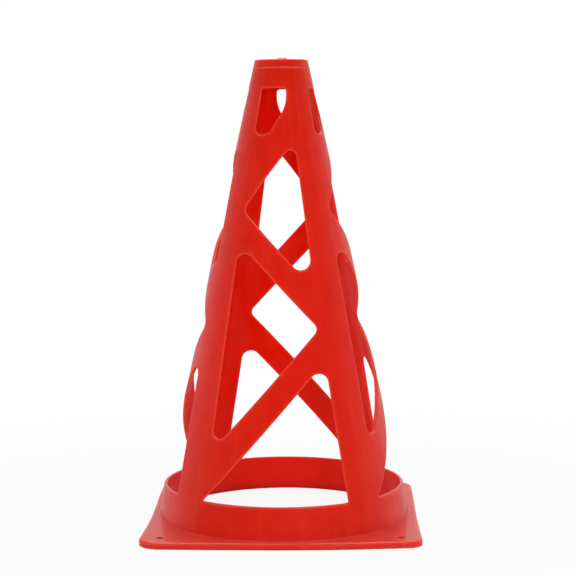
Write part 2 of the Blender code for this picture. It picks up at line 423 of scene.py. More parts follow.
given = bend.nodes.new("NodeGroupInput").outputs
flat = axes_of(bend, step_in(bend, "GeometryNodeInputPosition").outputs[0])
stretch = maths(bend, "SQRT", maths(bend, "MULTIPLY_ADD", given["Lean"], given["Lean"], 1.0))
leaned = maths(bend, "SUBTRACT", given["Foot Radius"], maths(bend, "MULTIPLY", given["Lean"], flat["Z"]))
radius = maths(bend, "SUBTRACT", leaned, maths(bend, "MULTIPLY", flat["Y"], stretch))

across = maths(bend, "DIVIDE", flat["X"], radius)
upward = maths(bend, "SUBTRACT", flat["Z"], given["Draw Height"])
upward = maths(bend, "DIVIDE", upward, given["Draw Reach"])
drawn = maths(bend, "MULTIPLY", swell(bend, across, 2.0), swell(bend, upward, 1.0))
radius = maths(bend, "SUBTRACT", radius, maths(bend, "MULTIPLY", given["Draw"], drawn))
radius_squared = maths(bend, "MULTIPLY", radius, radius)
across_squared = maths(bend, "MULTIPLY", flat["X"], flat["X"])
behind = maths(bend, "SQRT", maths(bend, "SUBTRACT", radius_squared, across_squared))
toward_front = maths(bend, "MULTIPLY", behind, -1.0)
bent = vector_of(bend, X=flat["X"], Y=toward_front, Z=flat["Z"])
one_bay = step_in(bend, "GeometryNodeSetPosition", {"Geometry": given["Flat Bay"], "Position": bent})

turn_each = maths(bend, "DIVIDE", math.tau, given["Bays"])
turned = maths(bend, "MULTIPLY", step_in(bend, "GeometryNodeInputIndex").outputs[0], turn_each)
starts = step_in(bend, "GeometryNodePoints", {"Count": given["Bays"]})
bays = step_in(bend, "GeometryNodeInstanceOnPoints", {
    "Points": starts.outputs[0], "Instance": one_bay.outputs[0], "Rotation": vector_of(bend, Z=turned),
})
real = step_in(bend, "GeometryNodeRealizeInstances", {0: bays.outputs[0]})
coated = step_in(bend, "GeometryNodeSetMaterial", {"Geometry": real.outputs[0], "Material": given["Plastic"]})
end_group(bend, {0: coated.outputs[0]})

# %% Run it and keep the result as a plain mesh
BAY_DRAW = 0.0013
BAY_DRAW_HEIGHT = 0.105
BAY_DRAW_REACH = 0.075

outside_skin = bpy.data.materials.new("outside_skin")
inside_skin = bpy.data.materials.new("inside_skin")
ground_skin = bpy.data.materials.new("ground_skin")

bending = lattice.modifiers.new("bend", "NODES")
bending.node_group = bend
values = {
    "Foot Radius": FOOT_RADIUS, "Lean": LEAN, "Bays": BAYS, "Plastic": outside_skin,
    "Draw": BAY_DRAW, "Draw Height": BAY_DRAW_HEIGHT, "Draw Reach": BAY_DRAW_REACH,
}
for item in bend.interface.items_tree:
    if item.in_out == "INPUT" and item.name in values:
        bending[item.identifier] = values[item.name]
graph = bpy.context.evaluated_depsgraph_get()
lattice_mesh = bpy.data.meshes.new_from_object(lattice.evaluated_get(graph))
bpy.data.objects.remove(lattice)
print(f"lattice of {BAYS} bays: {len(lattice_mesh.vertices)} points")

# %% [markdown]
# ## What is turned round the axis
# Below and above the lattice the wall has no windows, so it is a plain turned shape: a
# profile swept round the axis in as many steps as the bays have columns, so that its
# rings meet the lattice's edges point for point. Outside, the foot spreads onto the
# flange through a small fillet. The crown carries the fine raised line where two parts
# of the mould met, a softened rim, and on the disc the low nub where the plastic
# entered. Inside, the ceiling is blended into the wall so that the core lets go.

# %% A turned surface
TURN_STEPS = BAYS * BAY_COLUMNS


def turned_ring(ring_radius, height):
    angles = [math.tau * k / TURN_STEPS for k in range(TURN_STEPS)]
    return [(ring_radius * math.sin(angle), -ring_radius * math.cos(angle), height) for angle in angles]


def arc(centre, ring_radius, start, end, steps):
    """Points (out, up) of a round, its angles in degrees."""
    angles = [math.radians(start + (end - start) * step / steps) for step in range(steps + 1)]
    return [(centre[0] + ring_radius * math.cos(a), centre[1] + ring_radius * math.sin(a)) for a in angles]


def add_turned(form, profile, pole=None):
    """Sweeps (out, up) points round the axis. A pole closes the last ring at that height."""
    add_band(form, [turned_ring(out, up) for out, up in profile])
    if pole is not None:
        ring = turned_ring(*profile[-1])
        fan = [(k, (k + 1) % TURN_STEPS, TURN_STEPS) for k in range(TURN_STEPS)]
        add_faces(form, ring + [(0, 0, pole)], fan)


def wall_between(start, end, rings, depth=0.0):
    """Points (out, up) of a plain stretch of wall, from one height to another."""
    heights = [start + (end - start) * k / (rings - 1) for k in range(rings)]
    return [(wall_radius(height, depth), height) for height in heights]


LEAN_ANGLE = math.degrees(math.atan(LEAN))
print(f"{TURN_STEPS} steps round, wall {LEAN_ANGLE:.1f} degrees off upright")

# %% Collar and foot
EDGE_ROUND_GROUND = 0.0005
FOOT_GAP = 0.0015  # plain wall between the last straight ring and the round after it
OPENING_GAP = 0.0025

shell = bmesh.new()
fillet_top = FLANGE_THICKNESS + FOOT_FILLET
foot_centre = (wall_radius(fillet_top) + FOOT_FILLET * STRETCH, fillet_top)
outside_low = wall_between(PANEL_LOW, fillet_top + FOOT_GAP, 6)
outside_low += arc(foot_centre, FOOT_FILLET, 180 + LEAN_ANGLE, 270, 8)
add_turned(shell, outside_low)

opening_centre = (wall_radius(EDGE_ROUND_GROUND, WALL) + EDGE_ROUND_GROUND * STRETCH, EDGE_ROUND_GROUND)
inside_low = wall_between(PANEL_LOW, EDGE_ROUND_GROUND + OPENING_GAP, 6, WALL)
inside_low += arc(opening_centre, EDGE_ROUND_GROUND, 180 + LEAN_ANGLE, 270, 4)
add_turned(shell, inside_low)
print(f"foot spreads to {mm(foot_centre[0])}, opening {mm(2 * opening_centre[0])} across")

# %% Crown, seen from outside
RIM_ROUND = 0.0008
BEAD_HEIGHT = BODY_HEIGHT - 0.0055
BEAD_HALF = 0.0006
BEAD_PROUD = 0.0003
BEAD_STEPS = 8
GAP_BELOW = 0.0012
GAP_ABOVE = 0.0008
DISC_RINGS = (0.0140, 0.0110, 0.0085)
NUB_RADIUS = 0.0051
NUB_FLAT_SHARE = 0.40
NUB_RING_SHARES = (1.5, 1.2, 1.0, 0.93, 0.86, 0.79, 0.72, 0.65, 0.58, 0.51, 0.45, 0.36)
GATE_RADIUS = 0.0011
GATE_STEP_SHARES = (0.85, 0.94)  # of the gate's radius, and of the nub's height
GATE_FLOOR_SHARE = 0.92


def ease(share):
    """From 0 to 1 as the share is, but level at both ends."""
    return share * share * (3 - 2 * share)


bead = []
for step in range(BEAD_STEPS + 1):
    share = 2 * step / BEAD_STEPS - 1
    height = BEAD_HEIGHT + BEAD_HALF * share
    bead.append((wall_radius(height) + BEAD_PROUD * math.cos(math.pi / 2 * share) ** 2, height))
rim_height = BODY_HEIGHT - RIM_ROUND
rim_centre = (wall_radius(rim_height) - RIM_ROUND * STRETCH, rim_height)
nub = []
for share in NUB_RING_SHARES:
    fall = min(1, max(0, (share - NUB_FLAT_SHARE) / (1 - NUB_FLAT_SHARE)))
    nub.append((NUB_RADIUS * share, BODY_HEIGHT + NUB_HEIGHT * (1 - ease(fall))))
gate = [(GATE_RADIUS, BODY_HEIGHT + NUB_HEIGHT)]
gate.append((GATE_RADIUS * GATE_STEP_SHARES[0], BODY_HEIGHT + NUB_HEIGHT * GATE_STEP_SHARES[1]))

outside_high = wall_between(PANEL_HIGH, bead[0][1] - GAP_BELOW, 5) + bead
outside_high += wall_between(bead[-1][1] + GAP_ABOVE, rim_height - GAP_BELOW, 3)
outside_high += arc(rim_centre, RIM_ROUND, LEAN_ANGLE, 90, 6)
outside_high += [(ring_radius, BODY_HEIGHT) for ring_radius in DISC_RINGS] + nub + gate
add_turned(shell, outside_high, BODY_HEIGHT + NUB_HEIGHT * GATE_FLOOR_SHARE)
print(f"crown: {len(outside_high)} rings, nub {mm(2 * NUB_RADIUS)} wide")

# %% [markdown]
# The gate of this mould isn't quite on the axis: seen from the front, the nub sits half a
# millimetre to the right of the middle of the disc. The rings of the disc are therefore
# slid across, fully under the nub and less and less toward the rim, which stays round.

# %% Slide the nub off the axis
NUB_SHIFT = 0.0005
NUB_SHIFT_ENDS = 0.0145

slid = 0
for corner in shell.verts:
    out = math.hypot(corner.co.x, corner.co.y)
    if corner.co.z > BODY_HEIGHT - HAIR and out < NUB_SHIFT_ENDS:
        share = min(1, (NUB_SHIFT_ENDS - out) / (NUB_SHIFT_ENDS - NUB_RADIUS))
        corner.co.x += NUB_SHIFT * ease(share)
        slid += 1
print(f"{slid} points of the disc slid across")

# %% Crown, seen from inside
DISC_THICKNESS = 0.002
CEILING_FILLET = 0.0015
CEILING_GAP = 0.0014
CEILING_RINGS = (0.0100, 0.0060, 0.0025)

ceiling = BODY_HEIGHT - DISC_THICKNESS
blend_height = ceiling - CEILING_FILLET
blend_centre = (wall_radius(blend_height, WALL) - CEILING_FILLET * STRETCH, blend_height)
inside_high = wall_between(PANEL_HIGH, blend_height - CEILING_GAP, 6, WALL)
inside_high += arc(blend_centre, CEILING_FILLET, LEAN_ANGLE, 90, 6)
inside_high += [(ring_radius, ceiling) for ring_radius in CEILING_RINGS]
add_turned(shell, inside_high, ceiling)
print("ceiling at", mm(ceiling))

# %% [markdown]
# ## The flange
# The flange is a four millimetre plate with round corners and a peg hole in each, so
# that the cone can be pinned to grass. A scaled cube with a bevel would do for the
# plate, but its top has to meet the foot's fillet on a circle and its edges are rounded
# differently above and below. So its faces are sheets with holes, as on the lattice,
# and its sides are bands of rings between them.

# %% Outlines of the flange
FLANGE_CORNERS = (0.014, 0.012, 0.0140, 0.0085)
TOP_ROUND = 0.0015
CORNER_STEPS = 12
SIDE_STEPS = 52
PEG_INSET = 0.0134
PEG_RADIUS = 0.0026
PEG_ROUND = 0.0004
PEG_STEPS = 36
CORNERS = ((1, 1), (-1, 1), (-1, -1), (1, -1))


def flange_outline(inset):
    """The rounded square, anticlockwise, drawn in by an inset."""
    corners = []
    for quarter, ((x, y), rounding) in enumerate(zip(CORNERS, FLANGE_CORNERS)):
        reach = FLANGE_REACH - rounding
        start = 90 * quarter
        corners.append(arc((x * reach, y * reach), rounding - inset, start, start + 90, CORNER_STEPS))
    points = []
    for corner, next_corner in zip(corners, corners[1:] + corners[:1]):
        here, there = Vector(corner[-1]), Vector(next_corner[0])
        points += [Vector(point) for point in corner]
        points += [here.lerp(there, step / SIDE_STEPS) for step in range(1, SIDE_STEPS)]
    return points


def peg_outline(x, y, growth):
    reach = FLANGE_REACH - PEG_INSET
    circle = arc((x * reach, y * reach), PEG_RADIUS + growth, 0, 360, PEG_STEPS)
    return [Vector(point) for point in circle[:-1]]


print(f"flange outline: {len(flange_outline(0.0))} points")

# %% Flange faces, sides and peg holes
FILL_STEP = 0.0032
FILL_CLEARANCE = 0.0012
SIDE_RINGS = (0.0009, 0.0014, 0.0019, 0.0024)
BORE_RINGS = (0.0012, 0.0022, 0.0032)


def flange_sheet(form, height, opening_radius, inset):
    opening = [Vector(point[:2]) for point in turned_ring(opening_radius, height)]
    pegs = [peg_outline(x, y, PEG_ROUND) for x, y in CORNERS]
    count = int(FLANGE_REACH / FILL_STEP)
    steps = [FILL_STEP * k for k in range(-count, count + 1)]
    fill = [Vector((x, y)) for x in steps for y in steps]
    rim = flange_outline(inset)
    near, inside = distance_to(rim, fill)
    fill = [point for point, gap, within in zip(fill, near, inside) if within and gap > FILL_CLEARANCE]
    points, triangles = holed_sheet(rim, [opening] + pegs, fill, FILL_CLEARANCE)
    add_faces(form, [(x, y, height) for x, y in points], triangles)


flange_sheet(shell, FLANGE_THICKNESS, foot_centre[0], TOP_ROUND)
flange_sheet(shell, 0.0, opening_centre[0], EDGE_ROUND_GROUND)

side = arc((EDGE_ROUND_GROUND, EDGE_ROUND_GROUND), EDGE_ROUND_GROUND, 270, 180, 4)
side += [(0.0, height) for height in SIDE_RINGS]
side += arc((TOP_ROUND, FLANGE_THICKNESS - TOP_ROUND), TOP_ROUND, 180, 90, 6)
add_band(shell, [[(x, y, height) for x, y in flange_outline(inset)] for inset, height in side])

bore = arc((PEG_ROUND, PEG_ROUND), PEG_ROUND, 270, 180, 3)
bore += [(0.0, height) for height in BORE_RINGS]
bore += arc((PEG_ROUND, FLANGE_THICKNESS - PEG_ROUND), PEG_ROUND, 180, 90, 3)
for x, y in CORNERS:
    add_band(shell, [[(px, py, height) for px, py in peg_outline(x, y, growth)] for growth, height in bore])
print(f"flange and turned parts: {len(shell.faces)} faces")

# %% [markdown]
# A flat plate this thin never leaves its mould quite flat. As the plastic cools, the
# corners curl up a little, here most of all the front right one, and the left and right
# sides are drawn in. Both are small enough to miss on the object and are seen at once if
# they are absent, because a perfectly straight edge looks drawn with a ruler. The curl
# begins at the ring where the wall stands, which stays flat on the ground.

# %% Warp the flange
CORNER_CURLS = (0.0, 0.010, 0.012, 0.048)
CURL_SOFTNESS = 0.001
SIDE_DRAWS = {-1: 0.0016, 1: 0.0004}
DRAW_MIDDLE = -0.020


def curl(x, y):
    """How far the plate is lifted at a place on it."""
    beyond = max(0.0, math.hypot(x, y) - foot_centre[0])
    around = math.sqrt(2 * abs(x * y) / (x * x + y * y))
    corner = CORNERS.index((1 if x > 0 else -1, 1 if y > 0 else -1))
    return CORNER_CURLS[corner] * around * (math.hypot(beyond, CURL_SOFTNESS) - CURL_SOFTNESS)


def draw_in(x, y):
    """How far the left or right side of the plate is drawn in at a place on it."""
    ring = math.sqrt(max(0.0, foot_centre[0] ** 2 - y * y))
    share = min(1.0, max(0.0, (abs(x) - ring) / (FLANGE_REACH - ring)))
    along = min(1.0, abs(y - DRAW_MIDDLE) / (FLANGE_REACH - FLANGE_CORNERS[0]))
    side = 1 if x > 0 else -1
    return side * SIDE_DRAWS[side] * share * (1 - along * along) ** 2


lifts = []
for corner in shell.verts:
    x, y, z = corner.co
    if z <= FLANGE_THICKNESS + HAIR and math.hypot(x, y) > foot_centre[0] + HAIR:
        corner.co.x -= draw_in(x, y)
        lifts.append(curl(x, y))
        corner.co.z += lifts[-1]
print(f"{len(lifts)} points of the plate warped, by up to {mm(max(lifts))}")

# %% [markdown]
# ## One closed skin
# The lattice, the turned parts and the flange meet on shared rings of points, so they
# only have to be welded there to become one watertight shell. Two things are checked:
# no open edge is left, and the volume comes out positive, which means that the faces
# point outward. Then every point gets a normal that follows its largest faces, so that
# the small faces of a rounded edge don't pull the shading of the broad face beside it.

# %% Weld the shell
shell.from_mesh(lattice_mesh)
bmesh.ops.remove_doubles(shell, verts=shell.verts, dist=2 * HAIR)
bmesh.ops.recalc_face_normals(shell, faces=shell.faces)
open_edges = sum(1 for edge in shell.edges if len(edge.link_faces) != 2)
volume = shell.calc_volume(signed=True)
if open_edges or volume < 0:
    raise RuntimeError(f"{open_edges} open edges, volume {volume}")
bpy.data.meshes.remove(lattice_mesh)
print(f"closed shell: {len(shell.verts)} points, {volume * 1e6:.1f} cm3")

# %% [markdown]
# One more warp needs the whole shell. Standing on a soft ring, the cone isn't quite round
# near the ground: its left and right are pressed in at the foot, and the right once more
# above the collar. Each such place is a soft dent in height, strongest at the side and
# gone at the front and back. On the plate it fades out within two millimetres of the foot.
# The back of the ring stands a little higher than the front, by less than a millimetre.

# %% Press the sides near the ground
SIDE_DENTS = (
    # side, height, reach up and down, amount inward
    (-1, 0.000, 0.026, 0.0017),
    (1, 0.000, 0.026, 0.0009),
    (1, 0.062, 0.040, 0.0008),
)
DENT_FADE = 0.002
BACK_LIFT = 0.0009


def press_in(x, y, z):
    """How far a place on the shell moves toward the middle."""
    side = 1 if x > 0 else -1
    pressed = 0.0
    for dent_side, height, reach, amount in SIDE_DENTS:
        if dent_side == side:
            pressed += amount * max(0.0, 1 - ((z - height) / reach) ** 2) ** 2
    out = math.hypot(x, y)
    on_plate = z < FLANGE_THICKNESS + DENT_FADE
    beyond = max(0.0, out - wall_radius(z) - FOOT_FILLET) if on_plate else 0.0
    fade = max(0.0, 1 - beyond / DENT_FADE)
    return side * pressed * fade * (x / max(out, HAIR)) ** 4


def lift(x, y, z):
    """How far a place near the ground is raised, most of all at the back."""
    toward_back = max(0.0, y) / max(math.hypot(x, y), HAIR)
    return BACK_LIFT * toward_back ** 4 * max(0.0, 1 - z / COLLAR_TOP)


for corner in shell.verts:
    inward, up = press_in(*corner.co), lift(*corner.co)
    corner.co.x -= inward
    corner.co.z += up
cone_mesh = bpy.data.meshes.new("training_cone")
shell.to_mesh(cone_mesh)
shell.free()
triangle_count = sum(len(face.vertices) - 2 for face in cone_mesh.polygons)
print(f"{triangle_count} triangles, the foot pressed in by up to {mm(SIDE_DENTS[0][3])}")

# %% Normals that follow the large faces
def read_out(elements, name, width=1, kind=float):
    """An array of one value, or of one row of values, for each element of a mesh."""
    values = np.zeros(len(elements) * width, kind)
    elements.foreach_get(name, values)
    return values.reshape(-1, width) if width > 1 else values


face_normals = read_out(cone_mesh.polygons, "normal", 3)
face_areas = read_out(cone_mesh.polygons, "area")
corner_points = read_out(cone_mesh.loops, "vertex_index", kind=int)
corner_faces = np.repeat(np.arange(len(face_areas)), read_out(cone_mesh.polygons, "loop_total", kind=int))
point_normals = np.zeros((len(cone_mesh.vertices), 3))
np.add.at(point_normals, corner_points, face_normals[corner_faces] * face_areas[corner_faces, None])
point_normals /= np.linalg.norm(point_normals, axis=1)[:, None]
cone_mesh.shade_smooth()
cone_mesh.normals_split_custom_set_from_vertices(point_normals.tolist())
print(f"{len(point_normals)} normals set")

# %% [markdown]
# ## Marking the edges
# Handling shows first where a moulding turns a corner, and there a painted highlight line
# is laid as well. A material can't see that by itself, so each point is told how close it
# is to an edge: the points where the faces bend sharply and outward are found, and every
# other point is given a value that fades with its distance from the nearest of them. The material reads it as
# an attribute.

# %% Closeness to an edge
EDGE_BEND = math.cos(math.radians(6))
EDGE_REACH = 0.0016
GROUND_EDGE = 0.0012

straightness = np.ones(len(point_normals))
agreement = (point_normals[corner_points] * face_normals[corner_faces]).sum(1)
np.minimum.at(straightness, corner_points, agreement)
places = read_out(cone_mesh.vertices, "co", 3)
ends = read_out(cone_mesh.edges, "vertices", 2, int)
span = places[ends[:, 1]] - places[ends[:, 0]]
hollow = np.zeros(len(places))
np.add.at(hollow, ends[:, 0], (point_normals[ends[:, 0]] * span).sum(1))
np.add.at(hollow, ends[:, 1], -(point_normals[ends[:, 1]] * span).sum(1))
on_edge = np.flatnonzero((straightness < EDGE_BEND) & (hollow < 0) & (places[:, 2] > GROUND_EDGE))
edge_points = KDTree(len(on_edge))
for index, point in enumerate(on_edge):
    edge_points.insert(places[point], index)
edge_points.balance()
closeness = [math.exp(-edge_points.find(place)[2] / EDGE_REACH) for place in places]
edge_mark = cone_mesh.attributes.new("edge", "FLOAT", "POINT")
edge_mark.data.foreach_set("value", closeness)
print(f"{len(on_edge)} points lie on an edge")

# %% [markdown]
# The flange's upper face gets painted light: it is painted a paler red where it faces up
# toward the light, and made a little duller. It gets a mark of its own: points that are low and face upward.

# %% Painted light on the upper face of the flange
TOP_LIGHT_CEILING = 0.009
UPWARD_FROM = 0.75
UPWARD_FADE = 0.2

# the mask of painted light: low points of the flange top that face upward
upward = np.clip((point_normals[:, 2] - UPWARD_FROM) / UPWARD_FADE, 0, 1)
painted_top_light = upward * (places[:, 2] < TOP_LIGHT_CEILING)
painted_top_light_mark = cone_mesh.attributes.new("painted_top_light", "FLOAT", "POINT")
painted_top_light_mark.data.foreach_set("value", painted_top_light)
print(f"{int((painted_top_light > 0.5).sum())} points are rubbed")

# %% Which faces are inside, outside or on the ground
FACING_IN = -0.5  # the most that the normal of an inside face points outward or upward
FACING_GROUND = -0.8
CEILING_FROM = 0.1

for material in (outside_skin, inside_skin, ground_skin):
    cone_mesh.materials.append(material)
middles = read_out(cone_mesh.polygons, "center", 3)
heights, facing_up = middles[:, 2], face_normals[:, 2]
from_axis = np.hypot(middles[:, 0], middles[:, 1])
facing_out = (face_normals[:, :2] * middles[:, :2]).sum(1) / np.maximum(from_axis, HAIR)
within = from_axis < wall_radius(heights, WALL / 2)
skins = np.zeros(len(middles), int)
skins[within & (facing_out < FACING_IN)] = 1
skins[within & (heights > CEILING_FROM) & (facing_up < FACING_IN)] = 1
skins[(heights < FLANGE_THICKNESS / 2) & (facing_up < FACING_GROUND)] = 2
cone_mesh.polygons.foreach_set("material_index", skins)
print("faces outside, inside and on the ground:", [int((skins == k).sum()) for k in range(3)])

# %% [markdown]
# ## The plastic
# The real cone is soft polyethylene, coloured right through. Two things tell it from red
# paint. Its shine is only satin, because the mould was lightly grained, and light goes
# into it and comes out again some millimetres further on, so the inside of the lattice
# glows nearly as bright as the outside. The second is the Principled shader's subsurface
# scattering: red light travels far in this plastic, green and blue hardly at all.
# What remains is the unevenness that every moulding has, and a painted highlight along its
# edges. Each kind is a node group with its own inputs, so that the outside, the inside and
# the underside can use the same effects in different strengths. All of them read Object
# coordinates, which are metres here, so a grain of half a millimetre can simply be asked for.

# %% Helpers for the node groups
def begin_group(name, inputs, outputs):
    """A shader node group with float inputs (name: default) and float outputs."""
    group = bpy.data.node_groups.new(name, "ShaderNodeTree")
    for label, value in inputs.items():
        socket = group.interface.new_socket(label, in_out="INPUT", socket_type="NodeSocketFloat")
        socket.default_value = value
    for label in outputs:
        group.interface.new_socket(label, in_out="OUTPUT", socket_type="NodeSocketFloat")
    return group, group.nodes.new("NodeGroupInput").outputs


def object_place(tree):
    return step_in(tree, "ShaderNodeTexCoord").outputs["Object"]


def noise(tree, vector, scale, detail=2.0):
    """Cloudy values around a half."""
    made = step_in(tree, "ShaderNodeTexNoise", {"Vector": vector, "Scale": scale, "Detail": detail})
    return made.outputs[0]


def spread(tree, value, low, high, start=0.0, end=1.0, ramp="SMOOTHSTEP"):
    """Stretches low..high to start..end, with soft ends unless the ramp is LINEAR."""
    return step_in(tree, "ShaderNodeMapRange", {
        "Value": value, "From Min": low, "From Max": high, "To Min": start, "To Max": end,
    }, interpolation_type=ramp).outputs[0]


# %% [markdown]
# **Moulded grain.** The mould is blasted with fine beads, which leaves a grain of about
# half a millimetre, and the plastic shrinks unevenly as it cools, which leaves a ripple
# a centimetre or two wide. A photographed skin or an image texture would do it too, but
# noise has no seams and no limit of sharpness.

# %% Grain and ripple
tree, given = begin_group(
    "moulded_grain", {"Grain Size": 0.0005, "Ripple Size": 0.012}, ("Grain", "Ripple"),
)
place = object_place(tree)
fine = noise(tree, place, maths(tree, "DIVIDE", 1.0, given["Grain Size"]), 1.0)
wide = noise(tree, place, maths(tree, "DIVIDE", 1.0, given["Ripple Size"]), 2.5)
end_group(tree, {"Grain": spread(tree, fine, 0.25, 0.75), "Ripple": spread(tree, wide, 0.3, 0.7)})

# %% [markdown]
# **Flow marks.** The plastic enters at the gate on top and runs down the wall to the
# flange, and leaves faint paler streaks on its way. A streak keeps its bearing from the
# axis, so the noise is read by that bearing, as a point on a circle to avoid a seam at
# the back, and is stretched along the height.

# %% Streaks that run down from the gate
tree, given = begin_group("flow_marks", {"Streaks": 9.0, "Length": 0.16}, ("Streak",))
axes = axes_of(tree, object_place(tree))
level_place = vector_of(tree, X=axes["X"], Y=axes["Y"])
bearing = step_in(tree, "ShaderNodeVectorMath", {0: level_place}, operation="NORMALIZE").outputs[0]
bearing = axes_of(tree, bearing)
flow_place = vector_of(
    tree,
    X=maths(tree, "MULTIPLY", bearing["X"], given["Streaks"]),
    Y=maths(tree, "MULTIPLY", bearing["Y"], given["Streaks"]),
    Z=maths(tree, "DIVIDE", axes["Z"], given["Length"]),
)
flow = noise(tree, flow_place, 1.0, 4.0)
end_group(tree, {0: spread(tree, flow, 0.45, 0.75)})

# %% [markdown]
# **Scuffs.** A cone is stacked, dropped and dragged over grass, so it carries thin dull
# scratches. A noise that is squeezed along one direction gives long cells, and the thin
# line where it passes through its middle value is a scratch. A second, slow noise lets
# them show only here and there.

# %% Scratches in two directions
SCRATCH_WAYS = (
    # turned by, squeezed by
    ((0.4, 0.9, 0.3), (1.0, 7.0, 7.0)),
    ((1.2, 0.2, 2.1), (9.0, 1.0, 9.0)),
)

tree, given = begin_group("scuffs", {"Size": 0.02, "Thinness": 0.012, "Cover": 0.5}, ("Scuff",))
place = object_place(tree)
marks = []
for turn, squeeze in SCRATCH_WAYS:
    turned_place = step_in(tree, "ShaderNodeMapping", {
        "Vector": place, "Rotation": turn, "Scale": squeeze,
    }).outputs[0]
    cells = noise(tree, turned_place, maths(tree, "DIVIDE", 1.0, given["Size"]), 2.0)
    off_middle = maths(tree, "ABSOLUTE", maths(tree, "SUBTRACT", cells, 0.5))
    thin = maths(tree, "SUBTRACT", 1.0, maths(tree, "DIVIDE", off_middle, given["Thinness"]))
    marks.append(maths(tree, "MAXIMUM", thin, 0.0))
patchy = noise(tree, place, maths(tree, "DIVIDE", 0.6, given["Size"]), 2.0)
patchy = maths(tree, "ADD", patchy, maths(tree, "SUBTRACT", given["Cover"], 0.5))
strongest = maths(tree, "MAXIMUM", *marks)
shown = spread(tree, patchy, 0.5, 0.65)
end_group(tree, {0: maths(tree, "MULTIPLY", strongest, shown)})

# %% [markdown]
# ** Edges.** Along every window, along the collar's rim, the bead and the flange, the real
# cone has a line that is clearly paler than the faces beside it, where the rounded plastic
# catches the light; here that line is a painted highlight. The edges are also worn by other cones.
# The group turns the closeness that each point carries into the narrow painted highlight line and a wider,
# broken rub.

# %% Painted highlight lines and worn edges
tree, given = begin_group(
    "edge_highlight_and_rub", {"Closeness": 0.0, "Narrowness": 5.0, "Rub Size": 0.006}, ("Line", "Rub"),
)
# the narrow line is a painted highlight along the edges; the rub is wear
highlight_line = maths(tree, "POWER", given["Closeness"], given["Narrowness"])
breaks = noise(tree, object_place(tree), maths(tree, "DIVIDE", 1.0, given["Rub Size"]), 3.0)
rub = maths(tree, "MULTIPLY", given["Closeness"], spread(tree, breaks, 0.42, 0.68))
end_group(tree, {"Line": highlight_line, "Rub": rub})

# %% [markdown]
# ## Three skins of one plastic
# The outside has the grain and takes the wear. The inside was shaped by a smooth core
# that slides out, so it has less grain, and nothing has scraped it. The underside lies on
# the ground and is dull and scratched. All three are the same recipe with other amounts.
# The colours are mixed in this order: the plastic, its ripple, its flow marks, painted light
# on the flange top, the scuffs, and the edges last, a worn rub and a painted highlight line. The shine has
# two layers.
# A grained surface scatters most of what it mirrors, but its high spots are smooth, and
# seen along the surface they alone are in view. So the satin shine lies under a thin
# smoother coat, which shows most where the eye looks along the skin: at the outline and
# on the flange.

# %% The recipe
RED = (0.74, 0.015, 0.002, 1)
DEEP_RED = (0.68, 0.011, 0.001, 1)
STREAK_RED = (0.80, 0.030, 0.010, 1)
SCUFF_RED = (0.80, 0.120, 0.075, 1)
# painted light on the up-facing flange top
TOP_LIGHT_RED = (0.72, 0.030, 0.011, 1)
# painted highlight: the pale line along rounded edges
EDGE_HIGHLIGHT_RED = (0.88, 0.092, 0.045, 1)
SCATTER = (0.0100, 0.0009, 0.0004)
BUMP_DEPTH = 0.00025
BUMP_STRENGTH = 0.6
COAT_ROUGHNESS = 0.12
COAT_SHARE = 0.85
GRAIN_DULLS = 0.06
LEAST_COVER = 0.42
WORN_COVER = 0.3
EDGE_RUB_SHARE = 0.2


def effect(tree, group, inputs=None):
    """Places one of the node groups in a material."""
    return step_in(tree, "ShaderNodeGroup", inputs, node_tree=bpy.data.node_groups[group]).outputs


def mark(tree, name):
    """Reads a mark that the mesh carries."""
    return step_in(tree, "ShaderNodeAttribute", attribute_name=name).outputs["Fac"]


def mix_plastic(material, roughness, shine, grain, ripple, streaks, scuffing, edges):
    """Builds one skin. The last five arguments say how strongly each effect shows."""
    material.use_nodes = True
    tree = material.node_tree
    skin = effect(tree, "moulded_grain")
    streak = effect(tree, "flow_marks")["Streak"]
    scuff = effect(tree, "scuffs", {"Cover": LEAST_COVER + WORN_COVER * scuffing})["Scuff"]
    edge = effect(tree, "edge_highlight_and_rub", {"Closeness": mark(tree, "edge")})

    colour = RED
    dullness = roughness - GRAIN_DULLS / 2 * grain
    height = 0.0
    for mask, amount, tint, dulls, raises in (
        (skin["Grain"], grain, None, GRAIN_DULLS, 0.12),
        (skin["Ripple"], ripple, DEEP_RED, 0.05, 0.8),
        (streak, streaks, STREAK_RED, -0.05, 0.0),
        # painted light on the up-facing flange top, and a duller roughness there
        (mark(tree, "painted_top_light"), 1.0, TOP_LIGHT_RED, 0.08, 0.0),
        (scuff, scuffing, SCUFF_RED, 0.25, -0.25),
        (edge["Rub"], edges * EDGE_RUB_SHARE, SCUFF_RED, 0.0, 0.0),
        # painted highlight line along the edges
        (edge["Line"], edges, EDGE_HIGHLIGHT_RED, 0.0, 0.0),
    ):
        if tint:
            share = maths(tree, "MULTIPLY", mask, amount)
            blend = step_in(tree, "ShaderNodeMix", {0: share, 6: colour, 7: tint}, data_type="RGBA")
            colour = blend.outputs[2]
        if dulls:
            dullness = maths(tree, "MULTIPLY_ADD", mask, dulls * amount, dullness)
        if raises:
            height = maths(tree, "MULTIPLY_ADD", mask, raises * amount, height)

    relief = step_in(tree, "ShaderNodeBump", {
        "Height": height, "Distance": BUMP_DEPTH, "Strength": BUMP_STRENGTH,
    })
    feed(tree, tree.nodes["Principled BSDF"], {
        "Base Color": colour,
        "Roughness": dullness,
        "Normal": relief.outputs[0],
        "Specular IOR Level": shine,
        "Coat Weight": shine * COAT_SHARE,
        "Coat Roughness": COAT_ROUGHNESS,
        "Subsurface Weight": 1.0,
        "Subsurface Radius": SCATTER,
        "Subsurface Scale": 1.0,
    })
    print(f"{material.name}: {len(tree.nodes)} nodes")


